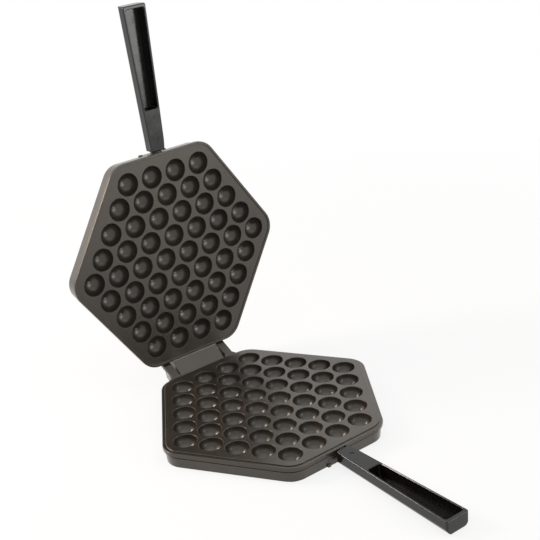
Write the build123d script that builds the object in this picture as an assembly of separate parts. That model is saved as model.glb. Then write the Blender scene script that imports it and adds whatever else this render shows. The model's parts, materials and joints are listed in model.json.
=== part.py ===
from build123d import *
import os
from math import asin, atan2, cos, degrees, hypot, radians, sin, sqrt

# Hinged egg waffle pan: two cast plates of round cups, each with a moulded handle.
# Millimetres and degrees. The pan lies on its lower half, +Y towards the hinge, the
# lower handle towards -Y, and its lid leans back open. The skirt stands on z = 0, and
# the origin is under the middle of the open pan.

# Cups
cup_pitch = 25.4            # spacing of the cups along a row
row_pitch = 19.8            # spacing of the rows
row_cups = [4, 5, 6, 7, 8, 7, 6, 5, 4]
cup_radius = 10.4
cup_rim_round = 0.5         # rounding where a cup meets the cooking face
cup_rim_share = 0.94        # height of that round as a share of its radius
dome_wall = 2.4             # metal behind each cup

# Plates
pan_depth = 16.0            # cooking face to the foot of the skirt
edge_margin = 19.9          # corner cup centres to the outside edge
deck_thickness = 7.0
band_height = 3.7           # outer band that stands proud of the skirt
skirt_inset = 1.4
skirt_draft = 1.2           # further inset at the foot
skirt_wall = 3.0
skirt_foot_wall = 2.5
skirt_foot_round = 0.7
groove_height = 1.8         # undercut below the band
groove_depth = 1.0
nest_step = 1.0             # lower plate: drop from the cooking face to its ledge
ledge_width = 3.0
lip_height = 0.8            # upper plate: lip that sits on that ledge
lip_width = 2.5
lip_bevel = 0.3
closed_gap = 0.2            # between the cooking faces when shut
band_round = 0.7
band_foot_round = 0.4
face_round = 0.45

# Hinge
lid_angle = 95.0            # lid leans back past upright, against its stop
hinge_back = 11.4           # pin centre behind the plates' hinge edge
hinge_drop = 3.3            # pin centre below the lower cooking face
pin_radius = 2.25
pin_running_gap = 0.05
pin_head_radius = 3.8
pin_head_height = 1.6
pin_head_round = 0.8
pin_tail = 0.8              # pin beyond its ring
ring_radius = 4.2
ring_thickness = 0.9
pin_end_room = 4.6          # radius of the relief round the pin's head and ring
tongue_half_width = 24.5
tongue_radius = 5.7
ear_inner_x = 27.0
ear_outer_x = 35.0
knuckle_width = 5.5
knuckle_radius = 6.2
strap_start = 0.9           # top of the strap at the plate's edge, above the pin centre
strap_reach = 18.0          # how far the strap runs on past the pin
strap_thickness = 3.0
strap_flare = 3.5           # widening where a strap leaves the plate
stop_gap = 0.2              # strap end to the open lid's skirt
rib_foot = 10.0             # foot of an ear's rib at the skirt, below the pin centre

# Lid's tongue when shut, as Y and Z from the pin's centre
web_face_top = (-10.9, 2.95)
web_face_foot = (2.1, -10.55)
web_back_foot = (4.4, -10.4)
web_back = (6.8, -6.0)
neck_back = (-5.0, 10.0)
root_face_z = 3.9
root_back_z = 14.0

# Handles
handle_length = 131.0
handle_start = 1.15         # plate edge to the handle's end
handle_drop = 2.0           # cooking face down to the handle's flat face
handle_end_width = 13.5
handle_neck_width = 15.6
handle_neck_length = 9.0
handle_tip_width = 23.5
handle_end_depth = 12.2
handle_tip_depth = 13.2
handle_face_round = 1.0
handle_end_round = 1.4
handle_tip_round = 1.8
handle_edge_round = 1.2     # round the foot of the handle's two ends
side_spare = 0.15           # back section stands this far outside the plan's sides
handle_end_back_round = 5.0
handle_tip_back_round = 7.5
pocket_start = 38.0         # from the plate end of the handle
pocket_tip_wall = 3.2
pocket_side_wall = 1.8
pocket_depth = 10.4
pocket_draft = 1.1
pocket_corner_round = 2.4
pocket_rim_bevel = 0.5
mark_radius = 2.0           # shallow round mark over the screw boss
mark_depth = 0.4
eject_radius = 3.2          # ejector mark on the pocket floor
eject_depth = 0.25
eject_from_tip = 14.0

# Tang and handle screw
tang_width = 8.0
tang_top = 4.5              # below the cooking face
tang_depth = 5.6
tang_length = 23.0
tang_clearance = 0.1
tang_chamfer = 0.8
socket_end_room = 1.0
boss_radius = 5.3           # round shoulder between the skirt and the handle
boss_gap = 0.1              # boss to the handle's end
pad_half_width = 14.0
pad_height = 7.0            # from the foot of the skirt
pad_proud = 0.9             # beyond the skirt's foot
pad_edge_round = 0.8
lug_width = 3.0             # feet at both ends of the pad
lug_height = 3.0
lug_proud = 0.6
lug_drop = 0.5              # pad's foot above the skirt's foot
screw_from_end = 12.0
thread_radius = 1.75
shank_radius = 2.0
shank_hole_radius = 2.2
screw_head_radius = 3.7
screw_head_height = 2.2
screw_seat_depth = 2.6
screw_seat_radius = 4.2
screw_head_round = 1.2
recess_length = 4.2         # cross recess in the screw's head
recess_width = 0.9
recess_depth = 0.7
hole_roof = 1.0             # metal over the tapped hole
thread_end_gap = 0.2

half_end_row = (row_cups[0] - 1) / 2 * cup_pitch
half_middle_row = (max(row_cups) - 1) / 2 * cup_pitch
half_rows = (len(row_cups) - 1) / 2 * row_pitch
plate_edge = half_rows + edge_margin
hinge_y = plate_edge + hinge_back
handle_y = -(plate_edge + handle_start)
overlap = 1.0               # how far joined features run into each other
rim_drop = cup_rim_round * cup_rim_share    # cooking face to the centre of a cup's ball
footprint_shift = 36.2      # plate centre behind the middle of the open pan's footprint


def cup_centres():
    """Plan positions of the cups, row by row from the handle side."""
    middle = (len(row_cups) - 1) / 2
    centres = []
    for row, count in enumerate(row_cups):
        for place in range(count):
            x = (place - (count - 1) / 2) * cup_pitch
            centres.append((x, (row - middle) * row_pitch))
    return centres


def outline(inset, z):
    """Plate outline: the hexagon of corner cups grown by the margin, less the inset."""
    corners = [
        (half_middle_row, 0), (half_end_row, half_rows), (-half_end_row, half_rows),
        (-half_middle_row, 0), (-half_end_row, -half_rows), (half_end_row, -half_rows),
    ]
    grown = offset(Polygon(*corners, align=None), amount=edge_margin - inset, kind=Kind.ARC)
    return Plane.XY.offset(z) * grown


def slab(inset, low, high):
    """Straight-sided plate of the outline between two heights."""
    return extrude(outline(inset, low), high - low, dir=(0, 0, 1))


def drafted(top_inset, top, foot_inset, foot):
    """Plate of the outline whose sides lean in towards the foot."""
    return loft([outline(foot_inset, foot), outline(top_inset, top)])


def turned(profile):
    """Solid of revolution about Z from a profile drawn as radius and height."""
    return revolve(Plane.XZ * profile, Axis.Z)


def cup_cutter():
    """Hemispherical cup with a rounded rim; the rim runs out just above the face."""
    rim_centre = cup_radius + cup_rim_round
    rim_edge = rim_centre - sqrt(cup_rim_round ** 2 - rim_drop ** 2)
    bottom = rim_drop + cup_radius
    lean = (atan2(rim_drop, rim_edge - rim_centre) + radians(180)) / 2
    rim_middle = (rim_centre + cup_rim_round * cos(lean), -rim_drop + cup_rim_round * sin(lean))
    ball_middle = (cup_radius * cos(radians(45)), -rim_drop - cup_radius * sin(radians(45)))
    edge = [
        Line((0, -bottom), (0, overlap)),
        Line((0, overlap), (rim_edge, overlap)),
        Line((rim_edge, overlap), (rim_edge, 0)),
        ThreePointArc((rim_edge, 0), rim_middle, (cup_radius, -rim_drop)),
        ThreePointArc((cup_radius, -rim_drop), ball_middle, (0, -bottom)),
    ]
    return turned(make_face(edge))


def cup_dome():
    """Round back of a cup, from inside the deck down."""
    radius = cup_radius + dome_wall
    top = deck_thickness - overlap
    top_radius = sqrt(radius ** 2 - (top - rim_drop) ** 2)
    lean = (atan2(top - rim_drop, top_radius) + radians(90)) / 2
    middle = (radius * cos(lean), -rim_drop - radius * sin(lean))
    edge = [
        Line((0, -top), (top_radius, -top)),
        ThreePointArc((top_radius, -top), middle, (0, -rim_drop - radius)),
        Line((0, -rim_drop - radius), (0, -top)),
    ]
    return turned(make_face(edge))


def rounded_slab(inset, low, high, top_round, foot_round):
    """Slab with its upper and lower outside edges rounded."""
    body = slab(inset, low, high)
    if top_round:
        body = fillet(body.edges().group_by(Axis.Z)[-1], top_round)
    if foot_round:
        body = fillet(body.edges().group_by(Axis.Z)[0], foot_round)
    return body


def plate_rim(has_lip):
    """Outer band with the ledge of the lower plate or the lip of the upper one."""
    if has_lip:
        rim = rounded_slab(0, lip_height - band_height, lip_height, band_round, band_foot_round)
        bevel = drafted(lip_width - lip_bevel, lip_height, lip_width, lip_height - lip_bevel)
        return rim - slab(lip_width, 0, lip_height + overlap) - bevel
    rim = rounded_slab(0, -nest_step - band_height, -nest_step, band_round, band_foot_round)
    return rim + rounded_slab(ledge_width, -nest_step - overlap, 0, face_round, 0)


def skirt_shell(band_foot):
    """Side wall below the band, open at the foot, with an undercut under the band."""
    foot_inset = skirt_inset + skirt_draft
    skirt = drafted(skirt_inset, band_foot + overlap, foot_inset, -pan_depth)
    skirt = fillet(skirt.edges().group_by(Axis.Z)[0], skirt_foot_round)
    groove_foot = band_foot - groove_height
    skirt -= slab(0, groove_foot, band_foot) - slab(skirt_inset + groove_depth, groove_foot, band_foot)
    hollow_foot = foot_inset + skirt_foot_wall
    hollow = drafted(skirt_inset + skirt_wall, -deck_thickness, hollow_foot, -pan_depth)
    return skirt - hollow - slab(hollow_foot, -pan_depth - overlap, -pan_depth)


def plate(has_lip):
    """One cast half with its cooking face at z = 0 and its skirt going down."""
    band_foot = (lip_height if has_lip else -nest_step) - band_height
    body = plate_rim(has_lip) + skirt_shell(band_foot)
    dome = cup_dome()
    cutter = cup_cutter()
    spots = [Pos(x, y, 0) for x, y in cup_centres()]
    body = body + [spot * dome for spot in spots]
    body = body - [spot * cutter for spot in spots]
    return body + handle_root() - tapped_hole()


def root_block(x, width, near, far, low, high):
    """Block at the handle's root, centred on x, between two distances towards -Y."""
    return Pos(x, -(near + far) / 2, (low + high) / 2) * Box(width, far - near, high - low)


def handle_root():
    """Pad with two foot lugs, round boss, and the bar that the handle slides over."""
    foot_face = plate_edge - skirt_inset - skirt_draft
    wall = foot_face - overlap
    pad_face = foot_face + pad_proud
    pad = root_block(0, pad_half_width * 2, wall, pad_face, -pan_depth + lug_drop, -pan_depth + pad_height)
    pad = fillet(pad.edges().filter_by(Axis.Z).group_by(Axis.Y)[0], pad_edge_round)
    for side in (-1, 1):
        lug_x = side * (pad_half_width - lug_width / 2)
        pad += root_block(lug_x, lug_width, wall, pad_face + lug_proud, -pan_depth, -pan_depth + lug_height)
    bar_z = -tang_top - tang_depth / 2
    boss_end = -handle_y - boss_gap
    boss = Pos(0, -(wall + boss_end) / 2, bar_z) * Rot(90, 0, 0) * Cylinder(boss_radius, boss_end - wall)
    bar_end = -handle_y + tang_length
    bar = root_block(0, tang_width, wall, bar_end, bar_z - tang_depth / 2, bar_z + tang_depth / 2)
    return pad + boss + chamfer(bar.edges().group_by(Axis.Y)[0], tang_chamfer)


def tapped_hole():
    """Hole in the tang for the handle screw."""
    top = tang_top + hole_roof
    hole = Cylinder(thread_radius, tang_depth + overlap)
    return Pos(0, handle_y - screw_from_end, -top - (tang_depth + overlap) / 2) * hole


def back_section(along):
    """Handle cross-section that rounds its back; the sides are cut by its plan."""
    half = handle_width(along) / 2 + side_spare
    depth = handle_depth(along)
    radius = handle_back_round(along)
    corners = [(-half, overlap), (half, overlap), (half, -depth), (-half, -depth)]
    shape = Polygon(*corners, align=None)
    shape = fillet(shape.vertices().group_by(Axis.Y)[0], radius)
    plane = Plane(origin=(0, handle_y - along, -handle_drop), x_dir=(1, 0, 0), z_dir=(0, -1, 0))
    return plane * shape


def handle_depth(along):
    """Depth of the handle at a distance from its plate end."""
    return handle_end_depth + along / handle_length * (handle_tip_depth - handle_end_depth)


def handle_back_round(along):
    """Rounding of the handle's back at a distance from its plate end."""
    share = along / handle_length
    return handle_end_back_round + share * (handle_tip_back_round - handle_end_back_round)


def handle_width(along):
    """Width of the handle at a distance from its plate end, past the neck."""
    share = (along - handle_neck_length) / (handle_length - handle_neck_length)
    return handle_neck_width + share * (handle_tip_width - handle_neck_width)


def pocket_outline(draft, depth):
    """Plan of the pocket at a depth below the handle's flat face."""
    near = pocket_start + draft
    far = handle_length - pocket_tip_wall - draft
    near_half = handle_width(near) / 2 - pocket_side_wall - draft
    far_half = handle_width(far) / 2 - pocket_side_wall - draft
    corners = [(-near_half, handle_y - near), (near_half, handle_y - near),
               (far_half, handle_y - far), (-far_half, handle_y - far)]
    shape = Polygon(*corners, align=None)
    shape = fillet(shape.vertices(), pocket_corner_round - draft / 2)
    return Plane.XY.offset(-handle_drop - depth) * shape


def handle_bar():
    """Solid bar of the handle: its plan, its side view and its rounded back together."""
    end, neck, tip = handle_end_width / 2, handle_neck_width / 2, handle_tip_width / 2
    neck_y, tip_y = handle_y - handle_neck_length, handle_y - handle_length
    plan = Polygon((-end, handle_y), (-neck, neck_y), (-tip, tip_y),
                   (tip, tip_y), (neck, neck_y), (end, handle_y), align=None)
    plan = fillet(plan.vertices().group_by(Axis.Y)[0], handle_tip_round)
    plan = fillet(plan.vertices().group_by(Axis.Y)[-1], handle_end_round)
    height = handle_tip_depth + overlap
    bar = extrude(Pos(0, 0, -handle_drop - height) * plan, height, dir=(0, 0, 1))
    bar = fillet(bar.edges().group_by(Axis.Z)[-1], handle_face_round)
    ends = (-overlap, handle_length + overlap)
    back = loft([back_section(along) for along in ends])
    side = Polygon((handle_y, overlap), (tip_y, overlap), (tip_y, -handle_tip_depth),
                   (handle_y, -handle_end_depth), align=None)
    side = fillet(side.vertices().sort_by(Axis.Y)[:2], handle_edge_round)
    side = Plane(origin=(0, 0, -handle_drop), x_dir=(0, 1, 0), z_dir=(1, 0, 0)) * side
    return bar & back & extrude(side, handle_tip_width, both=True)


def handle():
    """Moulded handle of the lower half, hollowed from its flat face."""
    body = handle_bar()
    pocket = loft([pocket_outline(pocket_draft, pocket_depth), pocket_outline(0, 0)])
    rim = loft([pocket_outline(0, pocket_rim_bevel), pocket_outline(-pocket_rim_bevel, 0)])
    body = body - pocket - rim
    floor = -handle_drop - pocket_depth
    mark_y = handle_y - handle_length + eject_from_tip
    body -= Pos(0, mark_y, floor) * Cylinder(eject_radius, eject_depth * 2)
    return body - handle_bores()


def handle_bores():
    """Socket for the tang, the screw's bore and seat, and the mark over the boss."""
    room = tang_clearance
    socket_depth = tang_length + socket_end_room
    socket = Pos(0, handle_y - (socket_depth - overlap) / 2, -tang_top - tang_depth / 2) * Box(
        tang_width + 2 * room, socket_depth + overlap, tang_depth + 2 * room)
    screw_y = handle_y - screw_from_end
    back = handle_drop + handle_end_depth + overlap
    bore_top = tang_top + tang_depth
    bore = Pos(0, screw_y, -(back + bore_top) / 2) * Cylinder(shank_hole_radius, back - bore_top)
    seat_height = screw_seat_depth + overlap
    seat = Pos(0, screw_y, -back + seat_height / 2) * Cylinder(screw_seat_radius, seat_height)
    mark = Pos(0, screw_y, -handle_drop) * Cylinder(mark_radius, mark_depth * 2)
    return [socket, bore, seat, mark]


def handle_screw():
    """Round-headed screw with a cross recess, up through the handle into the tang."""
    screw_y = handle_y - screw_from_end
    seat = -(handle_drop + handle_end_depth) + screw_seat_depth
    bar_foot = -tang_top - tang_depth
    thread_top = -(tang_top + hole_roof + thread_end_gap)
    head = Pos(0, 0, seat - screw_head_height / 2) * Cylinder(screw_head_radius, screw_head_height)
    head = fillet(head.edges().group_by(Axis.Z)[0], screw_head_round)
    blade = Box(recess_length, recess_width, recess_depth * 2)
    head -= Pos(0, 0, seat - screw_head_height) * (blade + Rot(0, 0, 90) * blade)
    shank = Pos(0, 0, (seat + bar_foot) / 2) * Cylinder(shank_radius, bar_foot - seat)
    thread = Pos(0, 0, (bar_foot + thread_top) / 2) * Cylinder(thread_radius, thread_top - bar_foot)
    return Pos(0, screw_y, 0) * (head + shank + thread)


def hinge_plane():
    """Plane across the hinge, drawn as (Y, Z) from the pin's centre."""
    return Plane(origin=(0, hinge_y, pan_depth - hinge_drop), x_dir=(0, 1, 0), z_dir=(1, 0, 0))


def across(profile, start, end):
    """Solid of a hinge profile between two places along X."""
    flat = hinge_plane().offset(start) * profile
    return extrude(flat, end - start, dir=(1, 0, 0))


def pin_bore(radius):
    """Cutter along the hinge axis through every knuckle."""
    reach = ear_outer_x + overlap
    return across(Circle(radius), -reach, reach)


def tangent_slope(y, z, radius):
    """Slope in degrees of the line from (y, z) that passes over a circle about the pin."""
    away = hypot(y, z)
    return degrees(asin(radius / away) - atan2(z, -y))


def open_lid_skirt():
    """Lid's hinge-side skirt when open, with the stop gap, seen along the pin."""
    top = hinge_drop + closed_gap - lip_height + band_height - overlap
    foot = hinge_drop + closed_gap + pan_depth
    face = -hinge_back - skirt_inset + stop_gap
    back = face - pan_depth
    skirt = Polygon((face, top), (face - skirt_draft, foot), (back, foot), (back, top), align=None)
    return Rot(0, 0, -lid_angle) * skirt


def strap_profile():
    """Strap that climbs from the lower plate's band over the knuckle to the lid's stop."""
    start = (-hinge_back - overlap, strap_start)
    slope = tangent_slope(*start, knuckle_radius)
    length = hypot(*start) + strap_reach
    strap = Pos(length / 2, -strap_thickness / 2) * Rectangle(length, strap_thickness)
    return Pos(*start) * Rot(0, 0, slope) * strap - open_lid_skirt()


def ear_plan():
    """Plan of an ear's strap, flared where it leaves the plate."""
    edge = plate_edge - overlap * 2
    tip = hinge_y + strap_reach
    outer_flare = ear_outer_x + strap_flare
    inner_flare = ear_inner_x - strap_flare / 2
    points = [
        (ear_inner_x, tip), (ear_outer_x, tip), (ear_outer_x, plate_edge + strap_flare),
        (outer_flare, plate_edge), (outer_flare, edge), (inner_flare, edge),
        (inner_flare, plate_edge), (ear_inner_x, plate_edge + strap_flare),
    ]
    return Polygon(*points, align=None)


def hinge_ear():
    """Ear of the lower plate at +X: a strap on top of a knuckle and its rib."""
    strap = across(strap_profile(), ear_inner_x - strap_flare, ear_outer_x + strap_flare + overlap)
    strap &= extrude(ear_plan(), pan_depth * 2, dir=(0, 0, 1))
    wall = -hinge_back - skirt_inset - skirt_draft
    rib = Polygon((wall, 0), (0, knuckle_radius - overlap), (0, -knuckle_radius),
                  (wall, -rib_foot), align=None)
    knuckle_end = ear_inner_x + knuckle_width
    knuckle = across(Circle(knuckle_radius) + rib, ear_inner_x, knuckle_end)
    return strap - across(Circle(pin_end_room), knuckle_end, ear_outer_x + overlap) + knuckle


def tongue_profile():
    """Lid's tongue when shut: its flat face towards the lower plate, barrel and neck."""
    root = -hinge_back - skirt_inset - skirt_draft
    points = [
        (root, root_face_z), web_face_top, web_face_foot, web_back_foot, web_back,
        (tongue_radius, 0), neck_back, (root, root_back_z),
    ]
    return Polygon(*points, align=None) + Circle(tongue_radius)


def hinge_pin():
    """Steel pin with a round head at -X."""
    head_face = ear_inner_x + knuckle_width
    pin = across(Circle(pin_radius), -head_face, head_face + ring_thickness + pin_tail)
    head = across(Circle(pin_head_radius), -head_face - pin_head_height, -head_face)
    head = fillet(head.edges().group_by(Axis.X)[0], pin_head_round)
    return pin + head


def pin_ring():
    """Push-on ring that keeps the pin in."""
    face = ear_inner_x + knuckle_width
    return across(Circle(ring_radius) - Circle(pin_radius), face, face + ring_thickness)


def lower(shape):
    """Stand a plate-frame shape on its skirt."""
    return Pos(0, 0, pan_depth) * shape


def upper(shape):
    """Turn a plate-frame shape over onto the lower half, as the lid lies when shut."""
    return Pos(0, 0, pan_depth + closed_gap) * Rot(0, 180, 0) * shape


def opened(shape):
    """Swing a lid shape back about the hinge pin to its stop."""
    hinge = Axis((0, hinge_y, pan_depth - hinge_drop), (1, 0, 0))
    return shape.rotate(hinge, -lid_angle)


def lower_pan():
    ear = hinge_ear()
    return lower(plate(False)) + ear + mirror(ear, Plane.YZ) - pin_bore(pin_radius)


def upper_pan():
    tongue = across(tongue_profile(), -tongue_half_width, tongue_half_width)
    body = upper(plate(True)) + tongue - pin_bore(pin_radius + pin_running_gap)
    return opened(body)


pieces = {
    "lower_pan": lower_pan(),
    "upper_pan": upper_pan(),
    "lower_handle": lower(handle()),
    "upper_handle": opened(upper(handle())),
    "lower_handle_screw": lower(handle_screw()),
    "upper_handle_screw": opened(upper(handle_screw())),
    "hinge_pin": hinge_pin(),
    "hinge_pin_ring": pin_ring(),
}
os.makedirs("parts", exist_ok=True)
for name, piece in pieces.items():
    export_step(Pos(0, footprint_shift, 0) * piece, os.path.join("parts", name + ".step"))
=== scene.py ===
import json
import math

import bpy
from mathutils import Matrix, Vector

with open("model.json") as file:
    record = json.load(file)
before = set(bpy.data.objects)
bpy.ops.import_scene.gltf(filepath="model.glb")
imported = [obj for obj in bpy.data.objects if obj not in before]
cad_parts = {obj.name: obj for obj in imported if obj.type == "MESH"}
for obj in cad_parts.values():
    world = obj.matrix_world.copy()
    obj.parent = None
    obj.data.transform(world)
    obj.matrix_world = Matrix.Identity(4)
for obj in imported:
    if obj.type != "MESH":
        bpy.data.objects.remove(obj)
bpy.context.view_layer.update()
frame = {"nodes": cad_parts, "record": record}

IMAGE_WIDTH = 540
WHITE = (1.0, 1.0, 1.0, 1.0)
GAMMA = 2.2

# Camera: place and clipping in metres, angles in degrees, sensor in millimetres
CAMERA_PLACE = (-0.52442, -0.70860, 0.54716)
CAMERA_TURN = 35.90          # towards +X from +Y
CAMERA_DOWN = 23.88          # below the horizon
CAMERA_ROLL = -4.95
FOCAL_PIXELS = 1179.3
SENSOR_WIDTH = 36.0
CLIP_NEAR = 0.05
CLIP_FAR = 20.0

# Lamps, in metres and watts: place, width and height, power, colour
LAMP_AIM = (0.0, 0.05, 0.08)
LAMPS = {
    "key": ((-0.66, 0.74, 0.60), (0.36, 0.36), 8.0, (1.0, 0.86, 0.76)),
    "top": ((0.10, 0.00, 1.60), (2.0, 2.0), 7.0, (1.0, 1.0, 1.0)),
    "side": ((0.70, -1.20, 0.35), (0.80, 0.50), 5.0, (0.97, 1.0, 0.96)),
}

# World: the backdrop as seen, and the light that surfaces feel from it
SEEN_STRENGTH = 1.0
FELT_STRENGTH = 0.55
FELT_COLOUR = (1.0, 0.985, 0.97, 1.0)

# Floor, in metres: its share of plain white near the pan, and the distances from the
# middle between which that share rises to the whole
FLOOR_HALF = 6.0
FLOOR_COLOUR = (0.93, 0.93, 0.93, 1.0)
FLOOR_WHITE = 0.82
FADE_START = 0.30
FADE_END = 0.85

# Noise: how fast its finer layers fade, and the part of its span that does the colouring
NOISE_ROUGHNESS = 0.55
NOISE_LOW = 0.3
NOISE_HIGH = 0.7


def rgb(red, green, blue):
    """Linear colour, closely, of an sRGB colour given as 0 to 255."""
    return tuple((c / 255) ** GAMMA for c in (red, green, blue)) + (1.0,)


class Nodes:
    """A material's node tree, with short calls for the nodes used here."""

    def __init__(self, name):
        self.material = bpy.data.materials.new(name)
        self.material.use_nodes = True
        self.tree = self.material.node_tree
        self.tree.nodes.clear()
        self.place = self.add("ShaderNodeTexCoord").outputs["Object"]

    def add(self, kind):
        return self.tree.nodes.new(kind)

    def link(self, source, target):
        self.tree.links.new(source, target)

    def noise(self, scale, detail, stretch=(1.0, 1.0, 1.0)):
        """Noise over the object, with features about 1/scale metres wide.

        A stretch below 1 draws the features out along that axis.
        """
        spread = self.add("ShaderNodeMapping")
        spread.inputs["Scale"].default_value = stretch
        self.link(self.place, spread.inputs["Vector"])
        node = self.add("ShaderNodeTexNoise")
        node.inputs["Scale"].default_value = scale
        node.inputs["Detail"].default_value = detail
        node.inputs["Roughness"].default_value = NOISE_ROUGHNESS
        self.link(spread.outputs["Vector"], node.inputs["Vector"])
        return node.outputs["Fac"]

    def between(self, noise, low, high):
        """A number that runs from low to high with the noise."""
        node = self.add("ShaderNodeMapRange")
        node.inputs["From Min"].default_value = NOISE_LOW
        node.inputs["From Max"].default_value = NOISE_HIGH
        node.inputs["To Min"].default_value = low
        node.inputs["To Max"].default_value = high
        self.link(noise, node.inputs["Value"])
        return node.outputs["Result"]

    def ramp(self, noise, dark, pale):
        """A colour that runs from dark to pale with the noise."""
        node = self.add("ShaderNodeValToRGB")
        stops = ((NOISE_LOW, dark), (NOISE_HIGH, pale))
        for element, (position, colour) in zip(node.color_ramp.elements, stops):
            element.position = position
            element.color = colour
        self.link(noise, node.inputs["Fac"])
        return node.outputs["Color"]

    def bump(self, noise, height, under=None):
        """Normal of a surface raised by the noise times a height in metres."""
        node = self.add("ShaderNodeBump")
        node.inputs["Strength"].default_value = 1.0
        node.inputs["Distance"].default_value = height
        self.link(noise, node.inputs["Height"])
        if under:
            self.link(under, node.inputs["Normal"])
        return node.outputs["Normal"]

    def finish(self, colour, roughness, normal, **fixed):
        """Principled surface with the given links and fixed socket values."""
        shader = self.add("ShaderNodeBsdfPrincipled")
        self.link(colour, shader.inputs["Base Color"])
        self.link(roughness, shader.inputs["Roughness"])
        self.link(normal, shader.inputs["Normal"])
        for key, value in fixed.items():
            shader.inputs[key.replace("_", " ")].default_value = value
        output = self.add("ShaderNodeOutputMaterial")
        self.link(shader.outputs["BSDF"], output.inputs["Surface"])
        return self.material


def nonstick_material():
    """Sprayed dark coating over cast metal: fine orange peel, faint brown mottling."""
    n = Nodes("nonstick_coating")
    mottle = n.noise(scale=28.0, detail=4.0)
    colour = n.ramp(mottle, dark=rgb(36, 35, 32), pale=rgb(49, 44, 39))
    roughness = n.between(n.noise(scale=160.0, detail=3.0), low=0.30, high=0.39)
    grain = n.bump(n.noise(scale=1900.0, detail=2.0), height=0.00004)
    peel = n.bump(n.noise(scale=420.0, detail=2.0), height=0.00005, under=grain)
    return n.finish(colour, roughness, peel, Metallic=0.0, IOR=1.53, Coat_Weight=1.0,
                    Coat_IOR=1.32, Coat_Roughness=0.22, Sheen_Weight=0.15, Sheen_Roughness=0.25,
                    Specular_Tint=(1.0, 0.94, 0.87, 1.0), Coat_Tint=(1.0, 0.96, 0.92, 1.0))


def phenolic_material():
    """Polished black moulding with a faint flow pattern along Y and slight waviness."""
    n = Nodes("black_phenolic")
    flow = n.noise(scale=40.0, detail=3.0, stretch=(1.0, 0.25, 1.0))
    colour = n.ramp(flow, dark=rgb(17, 17, 16), pale=rgb(27, 25, 23))
    roughness = n.between(n.noise(scale=120.0, detail=3.0), low=0.13, high=0.20)
    wave = n.bump(n.noise(scale=70.0, detail=2.0), height=0.00006)
    return n.finish(colour, roughness, wave, Metallic=0.0, IOR=1.5)


def steel_material():
    """Plated steel with fine scratches along X and light tarnish."""
    n = Nodes("plated_steel")
    tarnish = n.noise(scale=300.0, detail=4.0)
    colour = n.ramp(tarnish, dark=rgb(150, 146, 140), pale=rgb(196, 193, 188))
    roughness = n.between(n.noise(scale=900.0, detail=3.0), low=0.24, high=0.42)
    scratch_noise = n.noise(scale=2500.0, detail=2.0, stretch=(0.15, 1.0, 1.0))
    scratch = n.bump(scratch_noise, height=0.00001)
    return n.finish(colour, roughness, scratch, Metallic=1.0)


def dress_nodes():
    """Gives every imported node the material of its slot."""
    made = {
        "nonstick_casting": nonstick_material(),
        "black_phenolic": phenolic_material(),
        "plated_steel": steel_material(),
    }
    slots = {part["node"]: part["material_slot"] for part in frame["record"]["subparts"]}
    for name, piece in frame["nodes"].items():
        piece.data.materials.clear()
        piece.data.materials.append(made[slots[name]])


def make_camera():
    """Camera of the main view, from its place, turn, tilt and roll."""
    turn, down, roll = (math.radians(v) for v in (CAMERA_TURN, CAMERA_DOWN, CAMERA_ROLL))
    forward = Vector((math.sin(turn) * math.cos(down), math.cos(turn) * math.cos(down),
                      -math.sin(down)))
    level = Vector((math.cos(turn), -math.sin(turn), 0.0))
    rise = level.cross(forward)
    right = level * math.cos(roll) + rise * math.sin(roll)
    up = right.cross(forward)
    data = bpy.data.cameras.new("camera")
    data.sensor_width = SENSOR_WIDTH
    data.lens = FOCAL_PIXELS * SENSOR_WIDTH / IMAGE_WIDTH
    data.clip_start = CLIP_NEAR
    data.clip_end = CLIP_FAR
    camera = bpy.data.objects.new("camera", data)
    bpy.context.collection.objects.link(camera)
    axes = Matrix((right, up, -forward)).transposed()
    camera.matrix_world = Matrix.Translation(CAMERA_PLACE) @ axes.to_4x4()
    bpy.context.scene.camera = camera


def area_light(name, place, size, power, colour):
    """Soft rectangular lamp at a place, turned towards the pan."""
    data = bpy.data.lights.new(name, "AREA")
    data.shape = "RECTANGLE"
    data.size, data.size_y = size
    data.energy = power
    data.color = colour
    lamp = bpy.data.objects.new(name, data)
    bpy.context.collection.objects.link(lamp)
    lamp.location = place
    away = Vector(LAMP_AIM) - Vector(place)
    lamp.rotation_euler = away.to_track_quat("-Z", "Y").to_euler()


def make_lights():
    """A small warm box on the left and behind, a broad top light, a soft box front right."""
    for name, (place, size, power, colour) in LAMPS.items():
        area_light(name, place, size, power, colour)


def camera_or_mirror(tree):
    """1 where a ray comes from the camera, a mirror or glass, else 0."""
    path = tree.nodes.new("ShaderNodeLightPath")
    total = path.outputs["Is Camera Ray"]
    for extra in ("Is Glossy Ray", "Is Transmission Ray"):
        largest = tree.nodes.new("ShaderNodeMath")
        largest.operation = "MAXIMUM"
        tree.links.new(total, largest.inputs[0])
        tree.links.new(path.outputs[extra], largest.inputs[1])
        total = largest.outputs[0]
    return total


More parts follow.
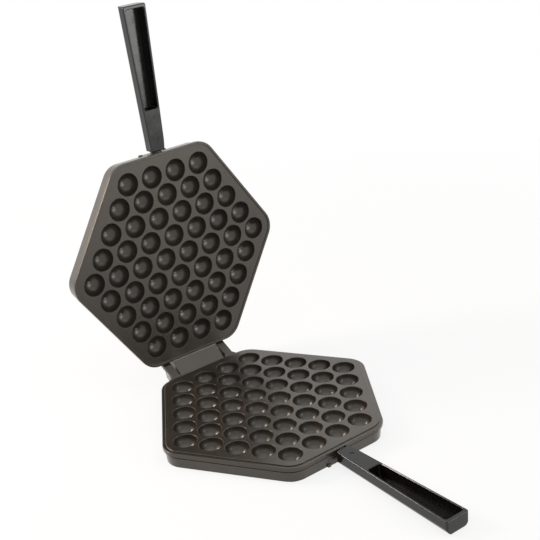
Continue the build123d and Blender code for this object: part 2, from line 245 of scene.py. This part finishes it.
def make_world():
    """White backdrop for the camera and reflections, a softer light on surfaces."""
    world = bpy.data.worlds.new("studio")
    bpy.context.scene.world = world
    world.use_nodes = True
    tree = world.node_tree
    tree.nodes.clear()
    output = tree.nodes.new("ShaderNodeOutputWorld")
    mix = tree.nodes.new("ShaderNodeMixShader")
    seen = tree.nodes.new("ShaderNodeBackground")
    felt = tree.nodes.new("ShaderNodeBackground")
    seen.inputs["Color"].default_value = WHITE
    seen.inputs["Strength"].default_value = SEEN_STRENGTH
    felt.inputs["Color"].default_value = FELT_COLOUR
    felt.inputs["Strength"].default_value = FELT_STRENGTH
    tree.links.new(camera_or_mirror(tree), mix.inputs["Fac"])
    tree.links.new(felt.outputs["Background"], mix.inputs[1])
    tree.links.new(seen.outputs["Background"], mix.inputs[2])
    tree.links.new(mix.outputs["Shader"], output.inputs["Surface"])


def floor_material():
    """Pale surface that turns plain white, to the camera and in mirrors, away from the pan."""
    material = bpy.data.materials.new("pale_floor")
    material.use_nodes = True
    tree = material.node_tree
    tree.nodes.clear()
    diffuse = tree.nodes.new("ShaderNodeBsdfDiffuse")
    diffuse.inputs["Color"].default_value = FLOOR_COLOUR
    glow = tree.nodes.new("ShaderNodeEmission")
    glow.inputs["Color"].default_value = WHITE
    place = tree.nodes.new("ShaderNodeTexCoord")
    distance = tree.nodes.new("ShaderNodeVectorMath")
    distance.operation = "LENGTH"
    tree.links.new(place.outputs["Object"], distance.inputs[0])
    fade = tree.nodes.new("ShaderNodeMapRange")
    fade.inputs["From Min"].default_value = FADE_START
    fade.inputs["From Max"].default_value = FADE_END
    fade.inputs["To Min"].default_value = FLOOR_WHITE
    fade.inputs["To Max"].default_value = 1.0
    tree.links.new(distance.outputs["Value"], fade.inputs["Value"])
    share = tree.nodes.new("ShaderNodeMath")
    share.operation = "MULTIPLY"
    tree.links.new(camera_or_mirror(tree), share.inputs[0])
    tree.links.new(fade.outputs["Result"], share.inputs[1])
    mix = tree.nodes.new("ShaderNodeMixShader")
    output = tree.nodes.new("ShaderNodeOutputMaterial")
    tree.links.new(share.outputs[0], mix.inputs["Fac"])
    tree.links.new(diffuse.outputs["BSDF"], mix.inputs[1])
    tree.links.new(glow.outputs["Emission"], mix.inputs[2])
    tree.links.new(mix.outputs["Shader"], output.inputs["Surface"])
    return material


def make_floor():
    """Square floor that keeps a soft shadow near the pan."""
    half = FLOOR_HALF
    data = bpy.data.meshes.new("floor")
    corners = [(-half, -half, 0), (half, -half, 0), (half, half, 0), (-half, half, 0)]
    data.from_pydata(corners, [], [(0, 1, 2, 3)])
    floor = bpy.data.objects.new("floor", data)
    bpy.context.collection.objects.link(floor)
    data.materials.append(floor_material())


make_camera()
make_world()
make_lights()
make_floor()
dress_nodes()
bpy.context.scene.view_settings.view_transform = "Standard"
